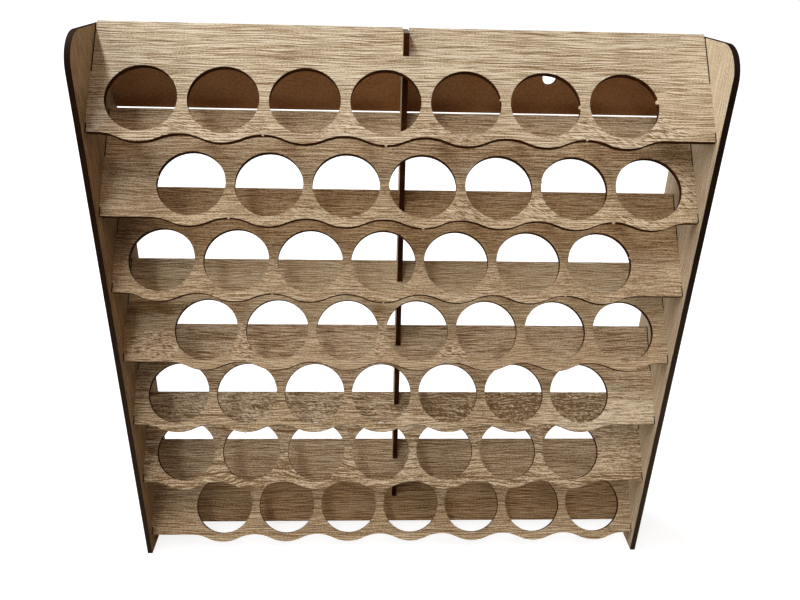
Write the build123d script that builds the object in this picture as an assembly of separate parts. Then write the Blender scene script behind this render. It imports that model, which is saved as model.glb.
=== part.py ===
from build123d import *

import math
import os

# Paint rack cut from 3 mm board: two side panels and a centre rib carry seven tilted shelves,
# a support strip under the lowest shelf and a back panel with two hanging holes.
# Millimetres. Z is up, the front faces -Y, and the origin is on the floor under the middle.

# Board and fits
sheet = 3.0                # thickness of every board
slot_fit = 0.1             # clearance on each side of a board in its slot
end_gap = 0.6              # gap between a shelf's shoulder and the side panel

# Side panels
inner_width = 313.0        # clear width between the side panels
panel_height = 317.0
panel_depth = 54.5
corner_radius = 18.0       # rounded top front corner

# Shelves
top_row_drop = 31.0        # hole line of the top shelf below the tops of the side panels
row_step = 43.2            # height from one shelf to the next
floor_room = 25.0          # least height of a hole line above the floor
shelf_tilt = 51.0          # degrees from level
back_reach = 42.0          # from the hole line up to the back edge
short_back_reach = 37.0    # the same on a shelf that is cut shorter
short_rows = (6,)          # rows with such a shelf, counted from the top
tab_width = 27.5

# Paint holes
hole_diameter = 35.6
hole_gap = 4.7             # board left between two holes
left_rows = (1, 3, 5, 6)   # rows whose holes sit towards the left, counted from the top
end_land = 4.0             # least straight front edge left beyond the waves at each end

# Wavy front edges
rim_width = 5.4            # board left in front of each hole, at the waves' lowest points
wave_depth = 4.5           # from the straight front edge down to these points
wave_setback = 0.6         # these points behind the front edges of the side panels

# Centre rib
rib_setback = 33.4         # front edge of the rib behind the front edges of the side panels
rib_head_lead = 2.2        # its head, above the top shelf, stands this much further forward

# Support strip under the lowest shelf
strip_drop = 20.0          # from the lowest shelf's face to the strip's face, square to both
strip_width = 32.0
strip_low_reach = 12.0     # from the hole line down to the strip's lower edge
strip_tab_width = 18.0

# Back panel
back_panel_height = 41.4
back_panel_drop = 1.5      # its top edge below the side panels' tops
back_tab_inset = 7.0       # its tabs' edges inside its own top and bottom edges
hanging_hole_diameter = 8.0
hanging_hole_spacing = 159.5
hanging_hole_drop = 21.7   # hole centres below the back panel's top edge

# Worked out from the sizes above
tilt = math.radians(shelf_tilt)
front_y = -panel_depth / 2
back_y = panel_depth / 2
hole_pitch = hole_diameter + hole_gap
low_radius = hole_diameter / 2 + rim_width
end_reach = low_radius - wave_depth
row_y = front_y + wave_setback + low_radius * math.cos(tilt)
rib_y = front_y + rib_setback
outer_width = inner_width + 2 * sheet
shelf_width = inner_width - 2 * end_gap
# As many rows and holes as there is room for; a row is shifted a quarter pitch to its side.
row_count = 1 + math.floor((panel_height - top_row_drop - floor_room) / row_step)
holes_per_row = math.floor((shelf_width - 2 * end_land - hole_pitch / 2) / hole_pitch)
strip_high_reach = strip_width - strip_low_reach
back_panel_top = panel_height - back_panel_drop
back_tab_height = back_panel_height - 2 * back_tab_inset
slot_width = sheet + 2 * slot_fit
past = 5.0                 # how far a cutting tool runs past what it cuts


def row_height(row):
    """Height of a row's hole line above the floor; row 1 is at the top."""
    return panel_height - top_row_drop - (row - 1) * row_step


def board_plane(drop, row):
    """Plane of a board's face: x to the right, y up the slope, z out of the face.

    It lies drop below the face of the given row's shelf, square to it.
    """
    origin = (0, row_y + drop * math.sin(tilt), row_height(row) - drop * math.cos(tilt))
    return Plane(origin=origin, x_dir=(1, 0, 0), z_dir=(0, -math.sin(tilt), math.cos(tilt)))


def shelf_plane(row):
    return board_plane(0, row)


strip_plane = board_plane(strip_drop, row_count)


def rib_reach(plane):
    """Distance up a board's slope at which its face meets the front edge of the rib."""
    return (rib_y - plane.origin.Y) / math.cos(tilt)


def hole_centres(row):
    """Centres of a row's holes along X, shifted a quarter pitch to its side."""
    side = -1 if row in left_rows else 1
    first = side * hole_pitch / 4 - hole_pitch * (holes_per_row - 1) / 2
    return [first + hole_pitch * index for index in range(holes_per_row)]


def wave_front(centres):
    """Wavy front edge, as arcs round the holes joined by arcs of the opposite bend.

    It starts and ends on the straight front edge, half a pitch outside the end holes.
    """
    half = hole_pitch / 2
    # The radius at which the arc between two holes touches both of their arcs.
    crest_radius = (half**2 + end_reach**2 - low_radius**2) / (2 * (low_radius - end_reach))
    share = low_radius / (low_radius + crest_radius)
    touch_x = half * share
    touch_y = -(end_reach + crest_radius) * share
    crest_turn = math.asin((half - touch_x) / crest_radius) / 2
    bow_x = half - crest_radius * math.sin(crest_turn)
    bow_y = -end_reach - crest_radius * (1 - math.cos(crest_turn))
    edges = []
    for centre in centres:
        left_crest = (centre - half, -end_reach)
        left_touch = (centre - touch_x, touch_y)
        right_touch = (centre + touch_x, touch_y)
        right_crest = (centre + half, -end_reach)
        edges.append(ThreePointArc(left_crest, (centre - bow_x, bow_y), left_touch))
        edges.append(ThreePointArc(left_touch, (centre, -low_radius), right_touch))
        edges.append(ThreePointArc(right_touch, (centre + bow_x, bow_y), right_crest))
    return edges


def shelf_outline(row, reach):
    """Closed outline of a shelf in its own plane, with an end tab on each side."""
    half = shelf_width / 2
    tab_end = outer_width / 2
    tab_half = tab_width / 2
    centres = hole_centres(row)
    wave = wave_front(centres)
    wave_start = (centres[0] - hole_pitch / 2, -end_reach)
    wave_end = (centres[-1] + hole_pitch / 2, -end_reach)
    rest = Polyline(
        wave_end,
        (half, -end_reach),
        (half, -tab_half),
        (tab_end, -tab_half),
        (tab_end, tab_half),
        (half, tab_half),
        (half, reach),
        (-half, reach),
        (-half, tab_half),
        (-tab_end, tab_half),
        (-tab_end, -tab_half),
        (-half, -tab_half),
        (-half, -end_reach),
        wave_start,
    )
    return make_face(Curve() + wave + rest.edges())


def rib_slot(plane, reach):
    """Slot from a board's back edge to the place where the rib's front edge meets it."""
    end = rib_reach(plane)
    length = reach - end + past
    return Pos(0, end + length / 2) * Rectangle(slot_width, length)


def make_shelf(row):
    """One shelf: holes, wavy front, end tabs and the slot for the rib."""
    reach = short_back_reach if row in short_rows else back_reach
    plane = shelf_plane(row)
    sketch = shelf_outline(row, reach)
    for centre in hole_centres(row):
        sketch -= Pos(centre, 0) * Circle(hole_diameter / 2)
    sketch -= rib_slot(plane, reach)
    return extrude(plane * sketch, amount=-sheet)


def make_support_strip():
    """Plain strip that the lowest row's paints stand on."""
    middle = (strip_high_reach - strip_low_reach) / 2
    sketch = Pos(0, middle) * Rectangle(shelf_width, strip_width)
    sketch += Pos(0, middle) * Rectangle(outer_width, strip_tab_width)
    sketch -= rib_slot(strip_plane, strip_high_reach)
    return extrude(strip_plane * sketch, amount=-sheet)


def board_slot(plane, middle, width, low_x, high_x):
    """Cutter for the slot that a board's tab goes through, from low_x to high_x."""
    size = width + 2 * slot_fit
    cutter = Box(high_x - low_x, size, slot_width)
    return plane * Pos((low_x + high_x) / 2, middle, -sheet / 2) * cutter


def make_side_panel(side):
    """Side panel at x on the given side (-1 left, 1 right), with all of its slots."""
    inner_x = side * inner_width / 2
    outer_x = side * outer_width / 2
    low_x = min(inner_x, outer_x)
    high_x = max(inner_x, outer_x)
    profile = Plane(origin=(low_x, 0, 0), x_dir=(0, 1, 0), z_dir=(1, 0, 0))
    outline = Pos(0, panel_height / 2) * Rectangle(panel_depth, panel_height)
    corner = outline.vertices().sort_by(Axis.Y)[-2:].sort_by(Axis.X)[0]
    outline = fillet(corner, corner_radius)
    panel = extrude(profile * outline, amount=sheet)
    for row in range(1, row_count + 1):
        panel -= board_slot(shelf_plane(row), 0, tab_width, low_x - past, high_x + past)
    strip_middle = (strip_high_reach - strip_low_reach) / 2
    panel -= board_slot(strip_plane, strip_middle, strip_tab_width, low_x - past, high_x + past)
    panel -= back_notch(low_x - past, high_x + past)
    return panel


def back_notch(low_x, high_x):
    """Cutter for the notch in a back edge that a tab of the back panel lies in."""
    depth = sheet + slot_fit
    height = back_tab_height + 2 * slot_fit
    middle_z = back_panel_top - back_panel_height / 2
    cutter = Box(high_x - low_x, depth + past, height)
    return Pos((low_x + high_x) / 2, back_y - depth + (depth + past) / 2, middle_z) * cutter


def make_centre_rib():
    """Upright board in the middle, half-lapped with every shelf and the strip."""
    profile = Plane(origin=(-sheet / 2, 0, 0), x_dir=(0, 1, 0), z_dir=(1, 0, 0))
    depth = back_y - rib_y
    outline = Pos(rib_y + depth / 2, panel_height / 2) * Rectangle(depth, panel_height)
    head_y = rib_y - rib_head_lead
    head_low = panel_height - top_row_drop + (head_y - row_y) * math.tan(tilt)
    head_height = panel_height - head_low
    head = Rectangle(rib_head_lead, head_height)
    outline += Pos((head_y + rib_y) / 2, head_low + head_height / 2) * head
    rib = extrude(profile * outline, amount=sheet)
    planes = [shelf_plane(row) for row in range(1, row_count + 1)] + [strip_plane]
    for plane in planes:
        end = rib_reach(plane) + slot_fit
        run = end + panel_depth
        cutter = Box(slot_width, run, slot_width)
        rib -= plane * Pos(0, end - run / 2, -sheet / 2) * cutter
    notch_depth = sheet + slot_fit
    notch_low = back_panel_top - back_panel_height - slot_fit
    notch = Box(slot_width, notch_depth + past, panel_height - notch_low + past)
    notch_y = back_y - notch_depth + (notch_depth + past) / 2
    return rib - Pos(0, notch_y, (notch_low + panel_height + past) / 2) * notch


def make_back_panel():
    """Upper back panel, with a tab at each end and the two hanging holes."""
    face = Plane(origin=(0, back_y, 0), x_dir=(1, 0, 0), z_dir=(0, -1, 0))
    middle = back_panel_top - back_panel_height / 2
    sketch = Pos(0, middle) * Rectangle(shelf_width, back_panel_height)
    sketch += Pos(0, middle) * Rectangle(outer_width, back_tab_height)
    for side in (-1, 1):
        hole_x = side * hanging_hole_spacing / 2
        hole_z = back_panel_top - hanging_hole_drop
        sketch -= Pos(hole_x, hole_z) * Circle(hanging_hole_diameter / 2)
    return extrude(face * sketch, amount=sheet)


def make_parts():
    """Every piece of the rack by its name."""
    parts = {
        "left_side_panel": make_side_panel(-1),
        "right_side_panel": make_side_panel(1),
        "centre_rib": make_centre_rib(),
        "back_panel": make_back_panel(),
        "bottom_support_strip": make_support_strip(),
    }
    for row in range(1, row_count + 1):
        parts[f"shelf_{row}"] = make_shelf(row)
    return parts


os.makedirs("parts", exist_ok=True)
for name, part in make_parts().items():
    export_step(part, f"parts/{name}.step")
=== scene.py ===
"""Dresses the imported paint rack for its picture: decor boards with burnt edges, studio and camera.

Lengths inside the finishes are in millimetres, everything placed in the scene is in metres.
"""
import logging
import math
from dataclasses import dataclass, replace
from enum import Enum
from typing import Any, Mapping, NamedTuple, Sequence

import bpy
from mathutils import Euler, Matrix, Vector


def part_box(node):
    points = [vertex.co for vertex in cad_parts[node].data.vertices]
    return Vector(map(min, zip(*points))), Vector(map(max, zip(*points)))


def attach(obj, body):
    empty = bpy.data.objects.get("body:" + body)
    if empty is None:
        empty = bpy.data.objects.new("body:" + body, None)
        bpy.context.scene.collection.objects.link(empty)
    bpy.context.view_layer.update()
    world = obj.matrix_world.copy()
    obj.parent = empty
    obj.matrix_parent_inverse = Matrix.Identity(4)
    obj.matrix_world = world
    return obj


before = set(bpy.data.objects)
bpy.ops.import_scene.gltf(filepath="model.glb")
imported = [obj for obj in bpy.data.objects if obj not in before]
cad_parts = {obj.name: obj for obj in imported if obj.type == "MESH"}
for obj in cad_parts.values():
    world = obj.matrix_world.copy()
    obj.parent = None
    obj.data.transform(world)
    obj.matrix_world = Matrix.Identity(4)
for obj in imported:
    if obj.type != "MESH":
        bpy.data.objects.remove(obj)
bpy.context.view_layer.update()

LOG = logging.getLogger("paint_rack")

Triple = tuple[float, float, float]

MILLIMETRE = 0.001
SHELF_TILT = math.radians(51.0)
UP_SLOPE: Triple = (0.0, math.cos(SHELF_TILT), math.sin(SHELF_TILT))
OUT_OF_SLOPE: Triple = (0.0, -math.sin(SHELF_TILT), math.cos(SHELF_TILT))
TO_THE_RIGHT: Triple = (1.0, 0.0, 0.0)
UPWARDS: Triple = (0.0, 0.0, 1.0)
WHITE: Triple = (1.0, 1.0, 1.0)

# Sizes of the boards in millimetres; rows count from the top, holes from the left
SHEET = 3.0
HOLE_RADIUS = 17.8
RIM_WIDTH = 5.4
WAVE_DEPTH = 4.5
HOLE_PITCH = 40.3
MIDDLE_HOLE = 4
ROW_SHIFT = 0.25
LEFT_ROWS = (1, 3, 5, 6)
ROWS = 7

# The Mix node's sockets for colours, by number, because its names repeat for each data type
MIX_FACTOR, MIX_FIRST, MIX_SECOND, MIX_RESULT = 0, 6, 7, 2


class DecorSide(Enum):
    """Which way the decor side of a board looks, as a direction in the frame."""

    OUT_OF_SLOPE = OUT_OF_SLOPE
    TO_THE_RIGHT = TO_THE_RIGHT
    TO_THE_LEFT = (-1.0, 0.0, 0.0)
    TO_THE_BACK = (0.0, 1.0, 0.0)


class GrainRun(Enum):
    """How the decor's grain lies: the direction along it, and the one across it."""

    LEVEL_ON_SLOPE = (TO_THE_RIGHT, UP_SLOPE)
    LEVEL_ON_WALL = (TO_THE_RIGHT, UPWARDS)
    UPRIGHT_ON_SIDE = (UPWARDS, (0.0, 1.0, 0.0))


class Value:
    """A number that varies over a surface: a shader socket that Python can calculate with."""

    def __init__(self, graph: "Graph", socket: bpy.types.NodeSocket) -> None:
        """Keeps the socket and the graph that new Math nodes go into."""
        self.graph = graph
        self.socket = socket

    def math(self, operation: str, *others: "Value | float") -> "Value":
        """Adds one Math node.

        Args:
            operation: the Math node's operation.
            others: its further operands, after this value.

        Returns:
            The node's result.
        """
        operands = dict(enumerate((self, *others)))
        made = self.graph.node("ShaderNodeMath", {"operation": operation}, operands)
        return Value(self.graph, made.outputs[0])

    def reflected(self, operation: str, first: float) -> "Value":
        """Adds one Math node with a plain number before this value.

        Args:
            operation: the Math node's operation.
            first: the number on the left of the operator.

        Returns:
            The node's result.
        """
        made = self.graph.node("ShaderNodeMath", {"operation": operation}, {0: first, 1: self})
        return Value(self.graph, made.outputs[0])

    def __add__(self, other: "Value | float") -> "Value":
        """Sum."""
        return self.math("ADD", other)

    def __radd__(self, other: float) -> "Value":
        """Sum with a number on the left."""
        return self.math("ADD", other)

    def __sub__(self, other: "Value | float") -> "Value":
        """Difference."""
        return self.math("SUBTRACT", other)

    def __rsub__(self, other: float) -> "Value":
        """Difference with a number on the left."""
        return self.reflected("SUBTRACT", other)

    def __mul__(self, other: "Value | float") -> "Value":
        """Product."""
        return self.math("MULTIPLY", other)

    def __rmul__(self, other: float) -> "Value":
        """Product with a number on the left."""
        return self.math("MULTIPLY", other)

    def __truediv__(self, other: "Value | float") -> "Value":
        """Quotient."""
        return self.math("DIVIDE", other)

    def __rtruediv__(self, other: float) -> "Value":
        """Quotient with a number on the left."""
        return self.reflected("DIVIDE", other)

    def __pow__(self, other: "Value | float") -> "Value":
        """Power."""
        return self.math("POWER", other)

    def __rpow__(self, other: float) -> "Value":
        """Power of a number on the left."""
        return self.reflected("POWER", other)

    def __gt__(self, other: "Value | float") -> "Value":
        """1 where this value is the greater one, otherwise 0."""
        return self.math("GREATER_THAN", other)

    def __lt__(self, other: "Value | float") -> "Value":
        """1 where this value is the lesser one, otherwise 0."""
        return self.math("LESS_THAN", other)

    def ramp(self, low: float, high: float) -> "Value":
        """Rises smoothly from 0 at low to 1 at high, or falls where low is the greater.

        Args:
            low: the value that gives 0.
            high: the value that gives 1.

        Returns:
            The smoothed step.
        """
        inputs = {"Value": self, "From Min": low, "From Max": high}
        settings = {"interpolation_type": "SMOOTHSTEP"}
        made = self.graph.node("ShaderNodeMapRange", settings, inputs)
        return Value(self.graph, made.outputs[0])


class Graph:
    """Node tree of one material, or of the world."""

    def __init__(self, owner: bpy.types.Material | bpy.types.World) -> None:
        """Empties the owner's node tree.

        Args:
            owner: the material or the world.
        """
        owner.use_nodes = True
        self.tree = owner.node_tree
        self.tree.nodes.clear()

    def node(
        self,
        kind: str,
        settings: Mapping[str, Any] | None = None,
        inputs: Mapping[str | int, Any] | None = None,
    ) -> bpy.types.Node:
        """Makes a node: its settings first, then its sockets.

        Args:
            kind: the node's type.
            settings: its properties by name; "stops" fills a colour ramp.
            inputs: a value or a link for each socket, by name or number.

        Returns:
            The node.
        """
        made = self.tree.nodes.new(kind)
        for name, value in (settings or {}).items():
            if name == "stops":
                self.fill_ramp(made.color_ramp, value)
            else:
                setattr(made, name, value)
        for name, value in (inputs or {}).items():
            self.feed(made.inputs[name], value)
        return made

    def feed(self, socket: bpy.types.NodeSocket, value: Any) -> None:
        """Links a socket to a value that varies, or writes a plain one into it.

        Args:
            socket: the input to feed.
            value: a Value, a socket, a number or a tuple of numbers.
        """
        if isinstance(value, Value):
            value = value.socket
        if isinstance(value, bpy.types.NodeSocket):
            self.tree.links.new(value, socket)
        elif isinstance(value, tuple) and socket.type == "RGBA":
            socket.default_value = (*value, 1.0)
        else:
            socket.default_value = value

    @staticmethod
    def fill_ramp(ramp: bpy.types.ColorRamp, stops: Sequence[tuple[float, Triple]]) -> None:
        """Replaces a colour ramp's stops.

        Args:
            ramp: the ramp.
            stops: position and colour of each stop, in order.
        """
        while len(ramp.elements) > 1:
            ramp.elements.remove(ramp.elements[-1])
        for index, (position, colour) in enumerate(stops):
            stop = ramp.elements[0] if index == 0 else ramp.elements.new(position)
            stop.position = position
            stop.color = (*colour, 1.0)

    def show(self, shader: bpy.types.NodeSocket) -> None:
        """Links the finished shader to the material's output."""
        self.node("ShaderNodeOutputMaterial", None, {"Surface": shader})

    def project(
        self, vector: bpy.types.NodeSocket, direction: Triple, scale: float = 1.0
    ) -> Value:
        """Length of a vector along a direction.

        Args:
            vector: the vector's socket.
            direction: unit direction.
            scale: factor on the result.

        Returns:
            The dot product times the factor.
        """
        scaled = tuple(scale * part for part in direction)
        settings = {"operation": "DOT_PRODUCT"}
        made = self.node("ShaderNodeVectorMath", settings, {0: vector, 1: scaled})
        return Value(self, made.outputs["Value"])

    def vector(
        self, x: "Value | float", y: "Value | float", z: "Value | float"
    ) -> bpy.types.NodeSocket:
        """Three values as one vector."""
        return self.node("ShaderNodeCombineXYZ", None, {0: x, 1: y, 2: z}).outputs[0]

    def noise(
        self,
        x: "Value | float",
        y: "Value | float",
        z: "Value | float",
        detail: float = 2.0,
        roughness: float = 0.5,
    ) -> Value:
        """Smooth noise about 0.5.

        Args:
            x: first coordinate, in features.
            y: second coordinate.
            z: third coordinate, which also serves as a seed.
            detail: how many finer layers are added.
            roughness: how strong the finer layers are.

        Returns:
            The noise.
        """
        inputs = {
            "Vector": self.vector(x, y, z),
            "Scale": 1.0,
            "Detail": detail,
            "Roughness": roughness,
        }
        return Value(self, self.node("ShaderNodeTexNoise", None, inputs).outputs[0])

    def mix(
        self, factor: "Value | float", first: Any, second: Any, how: str = "MIX"
    ) -> bpy.types.NodeSocket:
        """Mixes two colours.

        Args:
            factor: share of the second.
            first: colour or socket.
            second: colour or socket.
            how: the blend type.

        Returns:
            The mixed colour's socket.
        """
        settings = {"data_type": "RGBA", "blend_type": how}
        inputs = {MIX_FACTOR: factor, MIX_FIRST: first, MIX_SECOND: second}
        return self.node("ShaderNodeMix", settings, inputs).outputs[MIX_RESULT]

    def ramp_colour(
        self, value: Value, stops: Sequence[tuple[float, Triple]]
    ) -> bpy.types.NodeSocket:
        """Colour ramp on a value.

        Args:
            value: position on the ramp.
            stops: position and colour of each stop.

        Returns:
            The colour's socket.
        """
        return self.node("ShaderNodeValToRGB", {"stops": stops}, {0: value}).outputs[0]


class Surface(NamedTuple):
    """What a finish gives a shader: colour, roughness, and relief in millimetres."""

    colour: bpy.types.NodeSocket
    roughness: Value
    relief: Value


@dataclass(frozen=True)
class Layer:
    """One layer of noise on a board: how long and how wide its features are, in millimetres."""

    length: float
    width: float
    seed: float = 0.0
    detail: float = 2.0
    roughness: float = 0.5

    def noise(self, graph: Graph, along: Value, across: Value, seed: float) -> Value:
        """Lays the layer on a board.

        Args:
            graph: the material's graph.
            along: millimetres along the board.
            across: millimetres across it.
            seed: the board's seed, which the layer's own is added to.

        Returns:
            Smooth noise about 0.5.
        """
        x, y = along / self.length, across / self.width
        return graph.noise(x, y, seed + self.seed, self.detail, self.roughness)


@dataclass(frozen=True)
class StainAndShadePatch:
    """A soft patch round a middle on the face, darker or lighter or flecked: some are stains in the
    print, some painted shade and painted light.
    """

    along: float
    across: float
    half_along: float
    half_across: float
    lift: float = 0.0
    flecks: float = 0.0
    edge_layer: Layer = Layer(9.0, 4.0)
    raggedness: float = 1.6
    full_at: float = 0.2
    gone_at: float = 1.0

    def patch(self, graph: Graph, along: Value, across: Value) -> Value:
        """How much of the patch there is at a place.

        Args:
            graph: the material's graph.
            along: millimetres along the grain.
            across: millimetres across it.

        Returns:
            1 in the patch's middle, fading out to 0 at its ragged edge.
        """
        ragged = (self.edge_layer.noise(graph, along, across, self.along) - 0.5) * self.raggedness
        from_middle = ((along - self.along) / self.half_along) ** 2.0
        from_middle += ((across - self.across) / self.half_across) ** 2.0
        return (from_middle + ragged).ramp(self.gone_at, self.full_at)


class ReliefDepths(NamedTuple):
    """How deep each part of the decor is embossed, in millimetres."""

    streaks: float = 0.04
    fibres: float = 0.05
    grit: float = 0.015
    pores: float = 0.05


@dataclass(frozen=True)
class OakDecor:
    """Printed rough-sawn oak on the good side of the board.

    Bands, streaks, fibres and grit add up to one level, which runs through the colours from
    dark to fleck. The fibres are grain shown as a painted emboss: painted shade on one side of each
    fibre, a painted highlight on the other.
    """

    dark: Triple = (0.205, 0.122, 0.060)
    brown: Triple = (0.350, 0.238, 0.136)
    beige: Triple = (0.510, 0.388, 0.250)
    cream: Triple = (0.690, 0.575, 0.420)
    fleck: Triple = (0.820, 0.710, 0.550)
    stops: tuple[float, ...] = (0.10, 0.30, 0.48, 0.74, 1.00)
    level_scale: float = 0.8
    base_tone: float = 0.58
    tone: float = 0.0
    contrast: float = 1.0

    # Tints over the print, mixed between these heights: one below, and above it painted light and
    # shade that mostly darkens and warms the back of a shelf under the shelf above
    tint: Triple = WHITE
    upper_light_and_shade_tint: Triple = WHITE
    upper_from: float = -6.0
    upper_to: float = 14.0

    # How far the grain sways and ripples to the side
    sway: float = 5.0
    ripple: float = 1.3
    sway_layer: Layer = Layer(80.0, 24.0)
    ripple_layer: Layer = Layer(18.0, 5.0, seed=3.0, detail=3.0)

    # What the level is made of
    bands: float = 0.70
    band_layer: Layer = Layer(70.0, 5.0, seed=7.0)
    streaks: float = 1.30
    streak_width: float = 1.4
    streak_to_fibre: float = 2.5
    fibres: float = 1.9
    fibre_length: float = 14.0
    fibre_width: float = 0.58
    grit: float = 1.5
    grit_layer: Layer = Layer(0.9, 0.40, seed=29.0, detail=0.0)
    veins: float = 0.0
    vein_breadth: float = 0.0022
    vein_layer: Layer = Layer(60.0, 3.2, seed=37.0)

    # Dark pores, cut from short cracks
    pores: float = 0.65
    pores_from: float = 0.55
    pores_to: float = 0.70
    crack_width: float = 0.48
    crack_to_fibre: float = 0.7

    # Patches, some stains in the print and some painted shade and light, and the slanting strokes
    # that the flecked ones are made of
    stains_and_shades: tuple[StainAndShadePatch, ...] = ()
    stroke_depth: float = 2.2
    stroke_length: float = 2.6
    stroke_width: float = 0.75
    stroke_slant: float = 0.45

    # Gloss and embossing
    matt: float = 0.66
    shine: float = 0.12
    depths: ReliefDepths = ReliefDepths()

    @property
    def streak_layer(self) -> Layer:
        """Streaks, each some fibres long."""
        length = self.streak_to_fibre * self.fibre_length
        return Layer(length, self.streak_width, seed=11.0, detail=3.0, roughness=0.65)

    @property
    def fibre_layer(self) -> Layer:
        """Fine fibres."""
        return Layer(self.fibre_length, self.fibre_width, seed=17.0, detail=1.0)

    @property
    def crack_layer(self) -> Layer:
        """Short cracks."""
        length = self.crack_to_fibre * self.fibre_length
        return Layer(length, self.crack_width, seed=23.0, detail=0.0)

    @property
    def stroke_layer(self) -> Layer:
        """Short strokes."""
        return Layer(self.stroke_length, self.stroke_width, seed=31.0, detail=1.0)

    def bend(self, graph: Graph, along: Value, across: Value, seed: float) -> Value:
        """Bends the grain.

        Args:
            graph: the material's graph.
            along: millimetres along the grain.
            across: millimetres across it.
            seed: which part of the print this board shows.

        Returns:
            Millimetres across the grain as it sways along the board.
        """
        sway = self.sway_layer.noise(graph, along, across, seed) - 0.5
        ripple = self.ripple_layer.noise(graph, along, across, seed) - 0.5
        return across + sway * self.sway + ripple * self.ripple

    def paint(self, graph: Graph, along: Value, across: Value, seed: float) -> Surface:
        """Lays the grain on a face.

        Args:
            graph: the material's graph.
            along: millimetres along the grain.
            across: millimetres across it.
            seed: which part of the print this board shows.

        Returns:
            The decor's surface.
        """
        bent = self.bend(graph, along, across, seed)
        bands = self.band_layer.noise(graph, along, bent, seed)
        streaks = self.streak_layer.noise(graph, along, bent, seed)
        fibres = self.fibre_layer.noise(graph, along, bent, seed)
        # Painted emboss: the same fibres shifted by one width are taken off, giving painted shade on
        # one side of each fibre and a painted highlight on the other
        lit_fibres = self.fibre_layer.noise(graph, along, bent + self.fibre_width, seed)
        grit = self.grit_layer.noise(graph, along, across, seed)
        cracks = self.crack_layer.noise(graph, along, bent, seed)
        pores = cracks.ramp(self.pores_from, self.pores_to)
        away = (self.vein_layer.noise(graph, along, bent, seed) - 0.5) ** 2.0
        vein = away.ramp(self.vein_breadth, 0.0)
        figure = (
            (bands - 0.5) * self.bands
            + (streaks - 0.5) * self.streaks
            + (fibres - lit_fibres) * self.fibres
            + (grit - 0.5) * self.grit
        )
        level = figure * self.contrast + (self.base_tone + self.tone) - vein * self.veins
        slanted = bent + along * self.stroke_slant
        strokes = self.stroke_layer.noise(graph, along, slanted, seed) - 0.5
        for spot in self.stains_and_shades:
            change = strokes * (self.stroke_depth * spot.flecks) + spot.lift
            level = level + spot.patch(graph, along, across) * change
        shades = (self.dark, self.brown, self.beige, self.cream, self.fleck)
        colour = graph.ramp_colour(level * self.level_scale, tuple(zip(self.stops, shades)))
        colour = graph.mix(pores * (self.pores * self.contrast), colour, self.dark)
        # Painted light and shade up the slope: the upper tint mostly darkens and warms the back of a
        # shelf where the shelf above shades it
        tint_with_painted_shading = graph.mix(across.ramp(self.upper_from, self.upper_to), self.tint, self.upper_light_and_shade_tint)
        depths = self.depths
        relief = streaks * depths.streaks + fibres * depths.fibres + grit * depths.grit
        return Surface(
            graph.mix(1.0, colour, tint_with_painted_shading, "MULTIPLY"),
            self.matt - level * self.shine,
            relief - pores * depths.pores,
        )


@dataclass(frozen=True)
class RawBoard:
    """Bare brown back of the board: pressed fibres, faintly mottled."""

    deep: Triple = (0.255, 0.115, 0.043)
    warm: Triple = (0.410, 0.200, 0.081)
    pale: Triple = (0.530, 0.300, 0.150)
    stops: tuple[float, ...] = (0.10, 0.48, 0.95)
    base_tone: float = 0.48
    clouds: float = 0.6
    fibres: float = 0.35
    specks: float = 0.35
    specks_from: float = 0.62
    specks_to: float = 0.74
    mottle_depth: float = 0.05
    fibre_depth: float = 0.03
    matt: float = 0.55
    roughness_gain: float = 0.25
    cloud_layer: Layer = Layer(26.0, 19.0, detail=3.0)
    mottle_layer: Layer = Layer(1.6, 1.3, seed=5.0, detail=3.0, roughness=0.7)
    fibre_layer: Layer = Layer(1.5, 0.5, seed=9.0, roughness=0.6)
    speck_layer: Layer = Layer(0.7, 0.7, seed=13.0, detail=0.0)

    def paint(self, graph: Graph, along: Value, across: Value, seed: float) -> Surface:
        """Lays the fibres on a face.

        Args:
            graph: the material's graph.
            along: millimetres along the board.
            across: millimetres across it.
            seed: changes the pattern from board to board.

        Returns:
            The bare board's surface.
        """
        clouds = self.cloud_layer.noise(graph, along, across, seed)
        mottle = self.mottle_layer.noise(graph, along, across, seed)
        fibres = self.fibre_layer.noise(graph, along, across, seed)
        dots = self.speck_layer.noise(graph, along, across, seed)
        specks = dots.ramp(self.specks_from, self.specks_to)
        figure = (clouds - 0.5) * self.clouds + (mottle - 0.5) + (fibres - 0.5) * self.fibres
        level = figure + self.base_tone - specks * self.specks
        shades = (self.deep, self.warm, self.pale)
        colour = graph.ramp_colour(level, tuple(zip(self.stops, shades)))
        relief = mottle * self.mottle_depth + fibres * self.fibre_depth
        return Surface(colour, self.matt + mottle * self.roughness_gain, relief)


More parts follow.
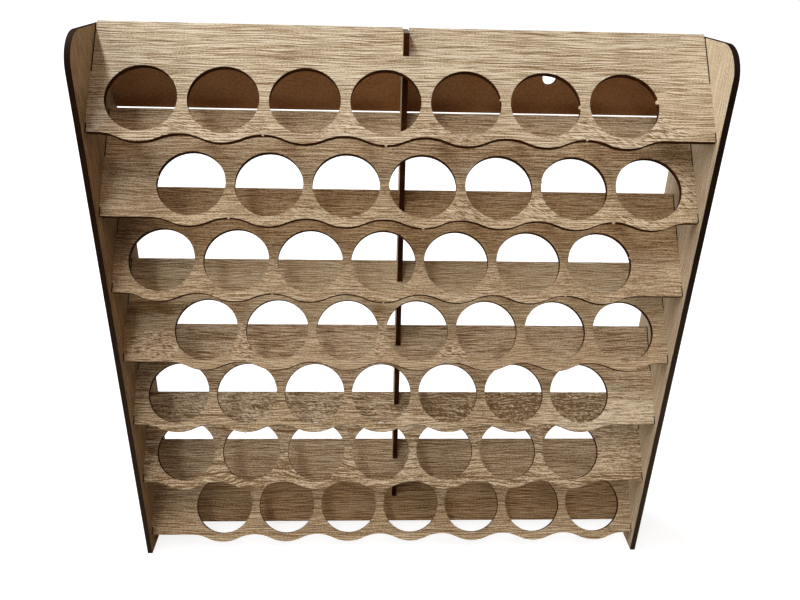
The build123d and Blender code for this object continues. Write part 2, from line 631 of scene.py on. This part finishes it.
@dataclass(frozen=True)
class BurntEdge:
    """Dark edge left by the cut, with fine marks across the board's thickness.

    It can turn paler towards the floor, and takes a painted grey sheen where it looks straight up.
    """

    soot_and_gap_shade: Triple = (0.016, 0.0035, 0.0008)
    char: Triple = (0.042, 0.0105, 0.0020)
    ember: Triple = (0.120, 0.042, 0.012)
    stops: tuple[float, ...] = (0.15, 0.55, 1.0)
    # Paler colour towards the floor, from the first height below down to the second
    paler_low: Triple = (0.030, 0.020, 0.012)
    paler_low_share: float = 0.0
    paler_from: float = 240.0
    paler_to: float = 90.0
    # Painted grey sheen on edges that look straight up
    top_sheen: Triple = (0.145, 0.118, 0.097)
    top_sheen_share: float = 0.0
    base_tone: float = 0.45
    marks: float = 0.8
    patches: float = 0.9
    mark_depth: float = 0.06
    matt: float = 0.60
    roughness_gain: float = 0.25
    mark_layer: Layer = Layer(0.35, 0.35, roughness=0.6)
    patch_layer: Layer = Layer(9.0, 9.0, seed=5.0)

    def paint(
        self, graph: Graph, along: Value, across: Value, upwards: Value, seed: float
    ) -> Surface:
        """Lays the burn marks on the cut edges.

        Args:
            graph: the material's graph.
            along: millimetres along the board.
            across: millimetres across it.
            upwards: 1 on an edge that looks straight up, otherwise 0.
            seed: changes the pattern from board to board.

        Returns:
            The burnt edge's surface.
        """
        marks = self.mark_layer.noise(graph, along, across, seed)
        patches = self.patch_layer.noise(graph, along, across, seed)
        level = (marks - 0.5) * self.marks + (patches - 0.5) * self.patches + self.base_tone
        shades = (self.soot_and_gap_shade, self.char, self.ember)
        colour = graph.ramp_colour(level, tuple(zip(self.stops, shades)))
        if self.paler_low_share > 0.0:
            paling = along.ramp(self.paler_from, self.paler_to) * self.paler_low_share
            colour = graph.mix(paling, colour, self.paler_low)
        # Painted sheen: grey where the edge looks straight up
        if self.top_sheen_share > 0.0:
            colour = graph.mix(upwards * self.top_sheen_share, colour, self.top_sheen)
        return Surface(colour, self.matt + marks * self.roughness_gain, marks * self.mark_depth)


@dataclass(frozen=True)
class Footprint:
    """Where a shelf's end covers a side panel, along the slope and square to it, in millimetres."""

    up_low: float
    up_high: float
    out_low: float
    out_high: float

    def mask(self, up: Value, out: Value) -> Value:
        """1 inside the footprint, 0 outside it."""
        along_slope = (up > self.up_low) * (up < self.up_high)
        return along_slope * (out > self.out_low) * (out < self.out_high)


@dataclass(frozen=True)
class BoardFinish:
    """Whole finish of one board: decor on one side, bare on the other, burnt edges all round."""

    side: DecorSide
    run: GrainRun
    seed: float
    low_edge: float = 0.0
    decor: OakDecor = OakDecor()
    raw: RawBoard = RawBoard()
    edge: BurntEdge = BurntEdge()
    covered: tuple[Footprint, ...] = ()
    # Painted shade for the narrow gaps behind the shelves' ends; the cut edges' darkest burn uses
    # the same name
    soot_and_gap_shade: Triple = (0.020, 0.012, 0.007)
    scorched_below: float | None = None
    scorch_length: float = 1.5
    scorch_raggedness: float = 0.5
    facing_limit: float = 0.9
    relief_strength: float = 0.7
    specular: float = 0.05

    def good_side(self, graph: Graph, facing: Value, along: Value, across: Value) -> Value:
        """Finds the decor side.

        Args:
            graph: the material's graph.
            facing: how far the surface looks the decor's way.
            along: millimetres along the board.
            across: millimetres across it.

        Returns:
            1 on the decor side, except on its scorched margin, otherwise 0.
        """
        good = facing > self.facing_limit
        if self.scorched_below is None:
            return good
        ragged = graph.noise(along / self.scorch_length, 0.0, self.seed) - 0.5
        scorched = across + ragged * self.scorch_raggedness < self.scorched_below
        return good * (1 - scorched)

    def darken_gaps(
        self, graph: Graph, place: bpy.types.NodeSocket, good: Value, colour: bpy.types.NodeSocket
    ) -> bpy.types.NodeSocket:
        """Paints shade on the decor in the narrow gaps at the shelves' ends, where light hardly
        reaches.

        Args:
            graph: the material's graph.
            place: the place on the board.
            good: 1 on the decor side.
            colour: the board's colour.

        Returns:
            The colour with painted shade in the gaps.
        """
        if self.covered:
            up = graph.project(place, UP_SLOPE, 1 / MILLIMETRE)
            out = graph.project(place, OUT_OF_SLOPE, 1 / MILLIMETRE)
            # Painted shade wherever a shelf's end covers the panel
            for shelf_end in self.covered:
                colour = graph.mix(shelf_end.mask(up, out) * good, colour, self.soot_and_gap_shade)
        return colour

    def material(self, name: str) -> bpy.types.Material:
        """Builds the board's material.

        Args:
            name: the material's name.

        Returns:
            The material.
        """
        made = bpy.data.materials.new(name)
        graph = Graph(made)
        normal = graph.node("ShaderNodeNewGeometry").outputs["True Normal"]
        place = graph.node("ShaderNodeTexCoord").outputs["Object"]
        along = graph.project(place, self.run.value[0], 1 / MILLIMETRE)
        across = graph.project(place, self.run.value[1], 1 / MILLIMETRE) - self.low_edge
        facing = graph.project(normal, self.side.value)
        upwards = graph.project(normal, UPWARDS) > self.facing_limit
        good = self.good_side(graph, facing, along, across)
        bare = facing < -self.facing_limit
        burnt = self.edge.paint(graph, along, across, upwards, self.seed)
        oak = self.decor.paint(graph, along, across, self.seed)
        brown = self.raw.paint(graph, along, across, self.seed)
        colour = graph.mix(bare, graph.mix(good, burnt.colour, oak.colour), brown.colour)
        colour = self.darken_gaps(graph, place, good, colour)
        cut = 1 - good - bare
        relief = burnt.relief * cut + oak.relief * good + brown.relief * bare
        bump_inputs = {
            "Strength": self.relief_strength,
            "Distance": MILLIMETRE,
            "Height": relief,
        }
        shader_inputs = {
            "Base Color": colour,
            "Roughness": burnt.roughness * cut + oak.roughness * good + brown.roughness * bare,
            "Normal": graph.node("ShaderNodeBump", None, bump_inputs).outputs[0],
            "Specular IOR Level": self.specular,
        }
        graph.show(graph.node("ShaderNodeBsdfPrincipled", None, shader_inputs).outputs[0])
        return made

    def dress(self, node: str) -> None:
        """Gives a CAD board this finish.

        Args:
            node: the board's node name.
        """
        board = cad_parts[node]
        made = self.material(f"finish_{node}")
        if not board.material_slots:
            board.data.materials.append(made)
        for slot in board.material_slots:
            slot.material = made
        LOG.info("dressed %s", node)


@dataclass
class SidePanels:
    """The two uprights, decor side inwards, grain upright."""

    raw: RawBoard = RawBoard(
        deep=(0.190, 0.086, 0.032),
        warm=(0.305, 0.150, 0.061),
        pale=(0.400, 0.225, 0.112),
    )
    left: BoardFinish = BoardFinish(
        DecorSide.TO_THE_RIGHT,
        GrainRun.UPRIGHT_ON_SIDE,
        seed=101.0,
        decor=OakDecor(
            # The tint paints shade: this panel's oak is made darker and warmer than the right
            # panel's, as it faces away from the light
            tint=(0.69, 0.57, 0.44),
            upper_light_and_shade_tint=(0.69, 0.57, 0.44),
            contrast=0.80,
            stains_and_shades=(
                # These three paint light and shade by height: lighter at the top, darker in the
                # middle, a little lighter lower down
                StainAndShadePatch(312.0, -6.0, 34.0, 60.0, 0.50),
                StainAndShadePatch(205.0, -10.0, 40.0, 30.0, -0.10),
                StainAndShadePatch(100.0, -10.0, 24.0, 30.0, 0.06),
            ),
        ),
        edge=BurntEdge(
            soot_and_gap_shade=(0.009, 0.0035, 0.0013),
            char=(0.018, 0.0062, 0.0022),
            ember=(0.032, 0.013, 0.005),
            paler_low=(0.027, 0.0165, 0.0102),
            paler_low_share=0.9,
        ),
    )
    right: BoardFinish = BoardFinish(
        DecorSide.TO_THE_LEFT,
        GrainRun.UPRIGHT_ON_SIDE,
        seed=131.0,
        decor=OakDecor(
            tint=(0.84, 0.84, 0.88),
            upper_light_and_shade_tint=(0.84, 0.84, 0.88),
            tone=0.02,
            contrast=0.50,
        ),
        edge=BurntEdge(
            soot_and_gap_shade=(0.007, 0.0036, 0.0020),
            char=(0.0145, 0.0076, 0.0038),
            ember=(0.028, 0.014, 0.007),
            paler_low=(0.046, 0.030, 0.0205),
            paler_low_share=0.9,
        ),
    )
    right_scorch: float = 0.6

    def dress(self) -> None:
        """Finishes both panels."""
        ends = tuple(ShelfFace(row).footprint for row in range(1, ROWS + 1))
        shared = {"raw": self.raw, "covered": ends}
        replace(self.left, **shared).dress("left_side_panel")
        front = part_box("right_side_panel")[0].y / MILLIMETRE
        scorched = front + self.right_scorch
        replace(self.right, scorched_below=scorched, **shared).dress("right_side_panel")


@dataclass(frozen=True)
class ShelfFace:
    """The upper face of a shelf: across it 0 is the hole line, and up the slope counts upwards."""

    row: int

    @property
    def node(self) -> str:
        """The shelf's node name."""
        return f"shelf_{self.row}"

    @property
    def hole_line(self) -> Vector:
        """The middle of the hole line, found from the lowest points of the wavy edge.

        Returns:
            The point in the frame, in metres.
        """
        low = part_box(self.node)[0]
        front = Vector((0.0, low.y, low.z + SHEET * MILLIMETRE * math.cos(SHELF_TILT)))
        return front + Vector(UP_SLOPE) * (HOLE_RADIUS + RIM_WIDTH) * MILLIMETRE

    @property
    def level(self) -> float:
        """How far up the slope the hole line lies from the frame's origin, in millimetres."""
        return self.hole_line.dot(Vector(UP_SLOPE)) / MILLIMETRE

    @property
    def footprint(self) -> Footprint:
        """What the shelf's ends cover of the side panels, where painted shade darkens the narrow
        gap.

        Returns:
            The footprint, in the frame's own millimetres.
        """
        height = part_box(self.node)[1].z - self.hole_line.z
        back = height / math.sin(SHELF_TILT) / MILLIMETRE
        face = self.hole_line.dot(Vector(OUT_OF_SLOPE)) / MILLIMETRE
        front = HOLE_RADIUS + RIM_WIDTH - WAVE_DEPTH
        return Footprint(self.level - front, self.level + back, face - SHEET, face)

    def hole(self, number: int) -> float:
        """Place of a hole along the row.

        Args:
            number: the hole, counted from the left.

        Returns:
            Millimetres to the right of the rack's middle.
        """
        shift = -ROW_SHIFT if self.row in LEFT_ROWS else ROW_SHIFT
        return (number - MIDDLE_HOLE + shift) * HOLE_PITCH

    def point(self, right: float, up: float, out: float) -> Vector:
        """A point by its place on the face.

        Args:
            right: millimetres to the right of the rack's middle.
            up: millimetres up the slope from the hole line.
            out: millimetres out of the face.

        Returns:
            The point in the frame, in metres.
        """
        step = Vector(TO_THE_RIGHT) * right + Vector(UP_SLOPE) * up + Vector(OUT_OF_SLOPE) * out
        return self.hole_line + step * MILLIMETRE


@dataclass
class Shelves:
    """The seven tilted shelves and the strip below them, grain level."""

    first_seed: float = 11.0
    seed_step: float = 8.3
    strip_seed: float = 83.0
    strip_decor: OakDecor = OakDecor(
        tint=(0.76, 0.65, 0.53),
        upper_light_and_shade_tint=(0.76, 0.65, 0.53),
        contrast=0.9,
    )
    decors: tuple[OakDecor, ...] = (
        OakDecor(
            tone=0.155,
            contrast=0.96,
            fibre_length=19.0,
            grit=1.1,
            stroke_length=4.0,
            stroke_width=0.60,
            stroke_slant=0.25,
            veins=0.16,
            tint=(0.85, 0.83, 0.83),
            upper_light_and_shade_tint=(0.91, 0.92, 0.95),
            stains_and_shades=(
                StainAndShadePatch(-38.0, -12.0, 26.0, 12.0, -0.03, 1.0),
                StainAndShadePatch(22.0, -16.0, 30.0, 9.0, 0.0, 1.0),
                StainAndShadePatch(20.0, -16.0, 45.0, 12.0, -0.06),
                StainAndShadePatch(108.0, -13.0, 44.0, 12.0, 0.05, 1.8),
                StainAndShadePatch(-100.0, -14.0, 44.0, 10.0, 0.02, 1.1),
                # Lifts the left corner inside the left panel's shadow: print streaks and painted
                # light
                StainAndShadePatch(-152.0, -5.0, 8.0, 18.0, 0.20, 0.9),
                StainAndShadePatch(-100.0, 24.0, 45.0, 4.0, -0.10),
                StainAndShadePatch(60.0, 21.0, 60.0, 3.0, -0.08),
            ),
        ),
        OakDecor(
            tone=0.10,
            contrast=0.78,
            fibre_length=13.0,
            stroke_length=3.6,
            stroke_width=0.70,
            veins=0.12,
            tint=(0.96, 0.92, 0.88),
            upper_light_and_shade_tint=(0.97, 0.91, 0.85),
            stains_and_shades=(
                StainAndShadePatch(148.0, 0.0, 10.0, 18.0, 0.19, 1.9),
                StainAndShadePatch(122.0, -18.0, 20.0, 6.0, 0.16, 1.6),
                StainAndShadePatch(72.0, -12.0, 14.0, 9.0, 0.14, 1.6),
                StainAndShadePatch(32.0, -14.0, 16.0, 8.0, 0.06, 1.3),
                StainAndShadePatch(-50.0, -16.0, 40.0, 5.0, 0.03, 0.7),
                # The next four paint shade under the wavy edge of the shelf above
                StainAndShadePatch(138.0, 20.0, 44.0, 7.0, -0.34),
                StainAndShadePatch(90.0, 12.0, 60.0, 10.0, -0.10),
                StainAndShadePatch(20.0, 21.0, 60.0, 3.0, -0.10),
                StainAndShadePatch(-90.0, 19.0, 40.0, 3.0, -0.08),
            ),
        ),
        OakDecor(
            tone=0.06,
            contrast=0.70,
            ripple=1.7,
            fibre_length=9.0,
            tint=(0.95, 0.90, 0.87),
            upper_light_and_shade_tint=(0.83, 0.71, 0.58),
            stains_and_shades=(
                # Partly a stain, partly painted shadow of the left panel at the left end
                StainAndShadePatch(-150.0, 8.0, 10.0, 22.0, -0.12),
                # The next two paint shade under the troughs of the wavy edge above
                StainAndShadePatch(8.0, 8.0, 10.0, 8.0, -0.10),
                StainAndShadePatch(90.0, 14.0, 60.0, 4.0, -0.05),
                StainAndShadePatch(-72.0, 0.0, 6.0, 16.0, 0.02, 0.5),
            ),
        ),
        OakDecor(
            tone=0.07,
            contrast=0.72,
            ripple=1.7,
            fibre_length=11.0,
            stroke_length=3.0,
            stroke_width=0.58,
            stroke_slant=0.10,
            tint=(0.92, 0.86, 0.82),
            upper_light_and_shade_tint=(1.0, 0.97, 0.91),
            stains_and_shades=(
                # Dark at the upper left: partly a stain, partly painted shadow of the left panel and
                # the shelf above
                StainAndShadePatch(-142.0, 12.0, 26.0, 5.5, -0.48),
                StainAndShadePatch(-139.0, -9.0, 19.0, 9.5, 0.06, 2.1),
                # Partly a stain, partly painted shadow of the left panel at the left end
                StainAndShadePatch(-156.0, 0.0, 7.0, 20.0, -0.20),
                StainAndShadePatch(-90.0, -8.0, 9.0, 16.0, 0.06, 1.8),
                StainAndShadePatch(-12.0, -4.0, 8.0, 14.0, 0.10, 1.8),
                StainAndShadePatch(30.0, -13.0, 14.0, 8.0, 0.12, 1.8),
                # The next four paint shade under the troughs of the wavy edge above, and painted
                # light under its crest in the middle
                StainAndShadePatch(-92.0, 12.0, 8.0, 4.0, -0.16),
                StainAndShadePatch(-10.0, 12.5, 8.0, 3.0, -0.20),
                StainAndShadePatch(10.0, 18.0, 40.0, 8.0, 0.12),
                StainAndShadePatch(110.0, 14.0, 40.0, 4.0, -0.06),
            ),
        ),
        OakDecor(
            tone=0.135,
            contrast=0.88,
            ripple=2.0,
            fibre_length=11.0,
            veins=0.36,
            tint=(0.98, 0.96, 0.94),
            upper_light_and_shade_tint=(0.98, 0.93, 0.88),
            stains_and_shades=(
                # Partly a stain, partly painted shadow of the left panel at the left end
                StainAndShadePatch(-148.0, 6.0, 10.0, 22.0, -0.10),
                StainAndShadePatch(126.0, -10.0, 44.0, 18.0, 0.36, 0.6),
                StainAndShadePatch(-70.0, -14.0, 90.0, 12.0, -0.14),
                # Paints shade under a trough of the wavy edge above
                StainAndShadePatch(-120.0, 18.0, 30.0, 5.0, -0.06),
            ),
        ),
        OakDecor(
            tone=0.12,
            contrast=0.90,
            sway=15.0,
            ripple=2.4,
            fibre_length=8.0,
            stroke_length=1.7,
            stroke_width=0.52,
            stroke_slant=0.25,
            veins=0.45,
            tint=(0.96, 0.94, 0.92),
            upper_light_and_shade_tint=(0.98, 0.96, 0.93),
            stains_and_shades=(
                StainAndShadePatch(-75.0, 26.0, 90.0, 14.0, 0.06, 1.6),
                StainAndShadePatch(80.0, 25.0, 85.0, 18.0, -0.38, 1.6),
                StainAndShadePatch(-80.0, -16.0, 90.0, 11.0, -0.14),
                StainAndShadePatch(-70.0, -10.0, 30.0, 12.0, 0.0, 0.7),
                StainAndShadePatch(20.0, -14.0, 40.0, 8.0, 0.0, 0.7),
                StainAndShadePatch(110.0, -12.0, 34.0, 12.0, 0.08),
                # Partly a stain, partly painted shadow of the left panel at the left end
                StainAndShadePatch(-150.0, 0.0, 14.0, 24.0, -0.04),
            ),
        ),
        OakDecor(
            tone=-0.01,
            contrast=0.85,
            tint=(0.94, 0.90, 0.86),
            upper_light_and_shade_tint=(0.86, 0.81, 0.76),
            stains_and_shades=(
                # The next two paint shade under the wavy edge of the shelf above
                StainAndShadePatch(0.0, 17.0, 160.0, 3.0, -0.10),
                StainAndShadePatch(0.0, 12.0, 40.0, 10.0, -0.13),
                # Partly a stain, partly painted shadow of the left panel at the left end
                StainAndShadePatch(-150.0, 0.0, 14.0, 24.0, -0.16),
            ),
        ),
    )

    def dress(self) -> None:
        """Finishes each shelf with its own piece of the print."""
        side, run = DecorSide.OUT_OF_SLOPE, GrainRun.LEVEL_ON_SLOPE
        for index, decor in enumerate(self.decors):
            face = ShelfFace(index + 1)
            seed = self.first_seed + self.seed_step * index
            BoardFinish(side, run, seed, face.level, decor).dress(face.node)
        strip = BoardFinish(side, run, self.strip_seed, decor=self.strip_decor)
        strip.dress("bottom_support_strip")


@dataclass
class Spine:
    """The boards behind the shelves: the centre rib and the back panel with its hanging holes."""

    rib_seed: float = 151.0
    back_seed: float = 173.0
    # The rib's head gets a painted grey sheen on its top edge
    rib_edge: BurntEdge = BurntEdge(top_sheen_share=0.95)

    def dress(self) -> None:
        """Finishes the rib and the back panel."""
        upright, level = GrainRun.UPRIGHT_ON_SIDE, GrainRun.LEVEL_ON_WALL
        rib = BoardFinish(DecorSide.TO_THE_LEFT, upright, self.rib_seed, edge=self.rib_edge)
        rib.dress("centre_rib")
        BoardFinish(DecorSide.TO_THE_BACK, level, self.back_seed).dress("back_panel")


class NubPlace(Enum):
    """Where on a shelf's cut edge a torn joint was left."""

    RIM = "on a hole's rim"
    TROUGH = "on the wavy edge in front of a hole"
    CREST = "on the wavy edge, half a pitch to the right of a hole"


@dataclass(frozen=True)
class JointNub:
    """The stub of one small joint that held a waste piece until it was broken out."""

    row: int
    hole: int
    place: NubPlace
    turn: float = -90.0
    size: float = 1.0
    root: float = 0.15
    reach: float = 0.55
    half_width: float = 0.70
    tip_share: float = 0.45
    top: float = -0.05
    bottom: float = -1.50
    depth_taper: float = 0.45

    def corners(self) -> list[Vector]:
        """The stub's corners, from its foot in the edge to its torn tip.

        Returns:
            Four corners of the foot, then four of the tip, in metres.
        """
        face = ShelfFace(self.row)
        right, up = face.hole(self.hole), 0.0
        way = math.radians(self.turn)
        if self.place is NubPlace.RIM:
            right += HOLE_RADIUS * math.cos(way)
            up += HOLE_RADIUS * math.sin(way)
            way += math.pi
        elif self.place is NubPlace.TROUGH:
            up -= HOLE_RADIUS + RIM_WIDTH
        else:
            right += HOLE_PITCH / 2
            up -= HOLE_RADIUS + RIM_WIDTH - WAVE_DEPTH
        found = []
        for out, share in ((-self.root, 1.0), (self.reach * self.size, self.tip_share)):
            half = self.half_width * self.size * share
            thin = 1.0 - self.depth_taper * (1.0 - share)
            top, bottom = self.top * thin, self.bottom * thin
            for side, depth in ((-half, top), (half, top), (half, bottom), (-half, bottom)):
                x = right + out * math.cos(way) - side * math.sin(way)
                y = up + out * math.sin(way) + side * math.cos(way)
                found.append(face.point(x, y, depth))
        return found


@dataclass
class JointNubs:
    """All the torn joints that show on the shelves, as one piece of bare fibre."""

    nubs: tuple[JointNub, ...] = (
        JointNub(1, 7, NubPlace.RIM, 9.0, 1.9),
        JointNub(1, 6, NubPlace.RIM, -3.0, 1.5),
        JointNub(1, 5, NubPlace.RIM, 8.0, 0.9),
        JointNub(1, 2, NubPlace.CREST),
        JointNub(1, 4, NubPlace.TROUGH),
        JointNub(1, 6, NubPlace.CREST, size=0.8),
        JointNub(2, 1, NubPlace.RIM, 169.0, 1.1),
        JointNub(2, 4, NubPlace.RIM, 186.0, 0.9),
        JointNub(2, 6, NubPlace.RIM, 170.0, 0.9),
        JointNub(2, 1, NubPlace.CREST),
        JointNub(2, 4, NubPlace.TROUGH),
        JointNub(2, 6, NubPlace.CREST, size=1.3),
        JointNub(3, 7, NubPlace.RIM, 12.0, 0.9),
        JointNub(3, 2, NubPlace.CREST, size=0.8),
        JointNub(3, 4, NubPlace.TROUGH, size=0.9),
        JointNub(3, 6, NubPlace.CREST, size=0.9),
        JointNub(4, 6, NubPlace.TROUGH),
        JointNub(5, 2, NubPlace.TROUGH, size=0.9),
        JointNub(5, 6, NubPlace.TROUGH, size=0.9),
    )
    faces: tuple[tuple[int, ...], ...] = (
        (0, 1, 2, 3),
        (7, 6, 5, 4),
        (0, 4, 5, 1),
        (2, 1, 5, 6),
        (3, 2, 6, 7),
        (3, 7, 4, 0),
    )
    fibre: Triple = (0.520, 0.370, 0.230)
    splinter: Triple = (0.700, 0.560, 0.400)
    splinter_size: float = 0.5
    stops: tuple[float, float] = (0.35, 0.65)
    matt: float = 0.85
    specular: float = 0.25

    def build(self) -> None:
        """Builds the piece and lets it ride on the rack."""
        points: list[Vector] = []
        faces: list[tuple[int, ...]] = []
        for nub in self.nubs:
            first = len(points)
            points += nub.corners()
            faces += [tuple(first + corner for corner in face) for face in self.faces]
        mesh = bpy.data.meshes.new("joint_nubs")
        mesh.from_pydata(points, [], faces)
        mesh.materials.append(self.material())
        piece = bpy.data.objects.new("joint_nubs", mesh)
        bpy.context.scene.collection.objects.link(piece)
        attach(piece, "root")
        LOG.info("built %d joint nubs", len(self.nubs))

    def material(self) -> bpy.types.Material:
        """Builds the torn fibre's material, paler where it is splintered.

        Returns:
            The material.
        """
        made = bpy.data.materials.new("torn_fibre")
        graph = Graph(made)
        place = graph.node("ShaderNodeTexCoord").outputs["Object"]
        scale = 1 / (MILLIMETRE * self.splinter_size)
        right, up, out = (
            graph.project(place, way, scale) for way in (TO_THE_RIGHT, UP_SLOPE, OUT_OF_SLOPE)
        )
        shades = tuple(zip(self.stops, (self.fibre, self.splinter)))
        inputs = {
            "Base Color": graph.ramp_colour(graph.noise(right, up, out), shades),
            "Roughness": self.matt,
            "Specular IOR Level": self.specular,
        }
        graph.show(graph.node("ShaderNodeBsdfPrincipled", None, inputs).outputs[0])
        return made


@dataclass(frozen=True)
class Lamp:
    """A soft box aimed at the rack, held level along its long side."""

    name: str
    place: Triple
    long_way: Triple
    power: float
    colour: Triple
    length: float = 1.4
    width: float = 1.4
    aim: Triple = (0.0, 0.0, 0.18)

    def build(self) -> None:
        """Puts the lamp in the scene, turned to the rack about its long side."""
        data = bpy.data.lights.new(self.name, "AREA")
        data.shape = "RECTANGLE"
        data.size = self.length
        data.size_y = self.width
        data.energy = self.power
        data.color = self.colour
        along = Vector(self.long_way).normalized()
        back = Vector(self.place) - Vector(self.aim)
        back = (back - along * back.dot(along)).normalized()
        turn = Matrix((along, back.cross(along), back)).transposed()
        lamp = bpy.data.objects.new(self.name, data)
        lamp.matrix_world = Matrix.Translation(self.place) @ turn.to_4x4()
        bpy.context.scene.collection.objects.link(lamp)


@dataclass
class Studio:
    """Pale floor, soft lamps and the camera."""

    floor_half: float = 8.0
    floor_bounce: float = 0.50
    floor_shade: float = 0.30
    floor_glow: float = 0.86
    shadow_reach: float = 0.25
    white_reach: float = 0.70
    ambient: float = 0.05
    ambient_colour: Triple = (1.0, 0.97, 0.93)
    camera_place: Triple = (-0.01748, -0.37961, 0.35568)
    camera_turn: Triple = (63.951, -1.423, -1.972)
    lens: float = 32.503
    sensor: float = 36.0
    nearest: float = 0.01
    lamps: tuple[Lamp, ...] = (
        Lamp(
            "top_lamp_behind",
            place=(-1.244, 0.79, 2.80),
            long_way=(0.0, 1.0, 0.0),
            length=2.0,
            width=0.3,
            power=96.0,
            colour=(0.97, 1.0, 1.0),
        ),
        Lamp(
            "top_lamp_in_front",
            place=(-1.244, -2.41, 2.80),
            long_way=(0.0, 1.0, 0.0),
            length=3.2,
            width=0.3,
            power=50.0,
            colour=(0.97, 1.0, 1.0),
        ),
        Lamp(
            "left_lamp",
            place=(-2.348, -0.205, 1.279),
            long_way=(-0.087, 0.996, 0.0),
            power=46.0,
            colour=(0.88, 1.0, 1.0),
        ),
        Lamp(
            "low_lamp",
            place=(-2.243, -1.295, 0.407),
            long_way=(-0.5, 0.866, 0.0),
            power=13.5,
            colour=(1.0, 0.72, 0.50),
        ),
        Lamp(
            "right_lamp",
            place=(0.959, -1.142, 2.310),
            long_way=(-0.766, -0.643, 0.0),
            power=13.0,
            colour=(1.0, 0.74, 0.54),
        ),
    )

    def build(self) -> None:
        """Builds floor, light and camera."""
        self.build_floor()
        self.build_sky()
        for lamp in self.lamps:
            lamp.build()
        self.build_camera()

    def build_floor(self) -> None:
        """Lays a pale floor that shows white where it is lit and keeps the rack's shadow."""
        half = self.floor_half
        mesh = bpy.data.meshes.new("floor")
        ways = ((-half, -half), (half, -half), (half, half), (-half, half))
        mesh.from_pydata([(x, y, 0.0) for x, y in ways], [], [(0, 1, 2, 3)])
        floor = bpy.data.objects.new("floor", mesh)
        bpy.context.scene.collection.objects.link(floor)
        made = bpy.data.materials.new("floor_white")
        graph = Graph(made)
        seen = Value(graph, graph.node("ShaderNodeLightPath").outputs["Is Camera Ray"])
        bounce, shade, glow = (
            (level,) * 3 for level in (self.floor_bounce, self.floor_shade, self.floor_glow)
        )
        lit = graph.node("ShaderNodeBsdfDiffuse", None, {"Color": bounce}).outputs[0]
        soft = graph.node("ShaderNodeBsdfDiffuse", None, {"Color": shade}).outputs[0]
        place = graph.node("ShaderNodeTexCoord").outputs["Object"]
        length = graph.node("ShaderNodeVectorMath", {"operation": "LENGTH"}, {0: place})
        reach = Value(graph, length.outputs["Value"])
        white = graph.mix(reach.ramp(self.shadow_reach, self.white_reach), glow, WHITE)
        glowing = graph.node("ShaderNodeEmission", None, {"Color": white}).outputs[0]
        shown = graph.node("ShaderNodeAddShader", None, {0: soft, 1: glowing}).outputs[0]
        both = {0: seen, 1: lit, 2: shown}
        graph.show(graph.node("ShaderNodeMixShader", None, both).outputs[0])
        mesh.materials.append(made)

    def build_sky(self) -> None:
        """Even soft light all round, shown as white behind the rack."""
        world = bpy.data.worlds.new("studio")
        bpy.context.scene.world = world
        graph = Graph(world)
        path = graph.node("ShaderNodeLightPath")
        seen = Value(graph, path.outputs["Is Camera Ray"])
        soft_inputs = {"Color": self.ambient_colour, "Strength": self.ambient}
        soft = graph.node("ShaderNodeBackground", None, soft_inputs).outputs[0]
        white = graph.node("ShaderNodeBackground", None, {"Color": WHITE}).outputs[0]
        both = graph.node("ShaderNodeMixShader", None, {0: seen, 1: soft, 2: white}).outputs[0]
        graph.node("ShaderNodeOutputWorld", None, {"Surface": both})

    def build_camera(self) -> None:
        """Sets the camera where the photograph was taken from."""
        data = bpy.data.cameras.new("camera")
        data.sensor_fit = "HORIZONTAL"
        data.sensor_width = self.sensor
        data.lens = self.lens
        data.clip_start = self.nearest
        camera = bpy.data.objects.new("camera", data)
        camera.location = self.camera_place
        camera.rotation_euler = Euler([math.radians(turn) for turn in self.camera_turn])
        bpy.context.scene.collection.objects.link(camera)
        bpy.context.scene.camera = camera


def main() -> None:
    """Dresses the rack, piece by piece, and sets up its picture."""
    logging.basicConfig(level=logging.INFO, format="%(message)s")
    for boards in (SidePanels(), Shelves(), Spine()):
        boards.dress()
    JointNubs().build()
    Studio().build()
    bpy.context.scene.view_settings.view_transform = "Standard"


if __name__ == "__main__":
    main()
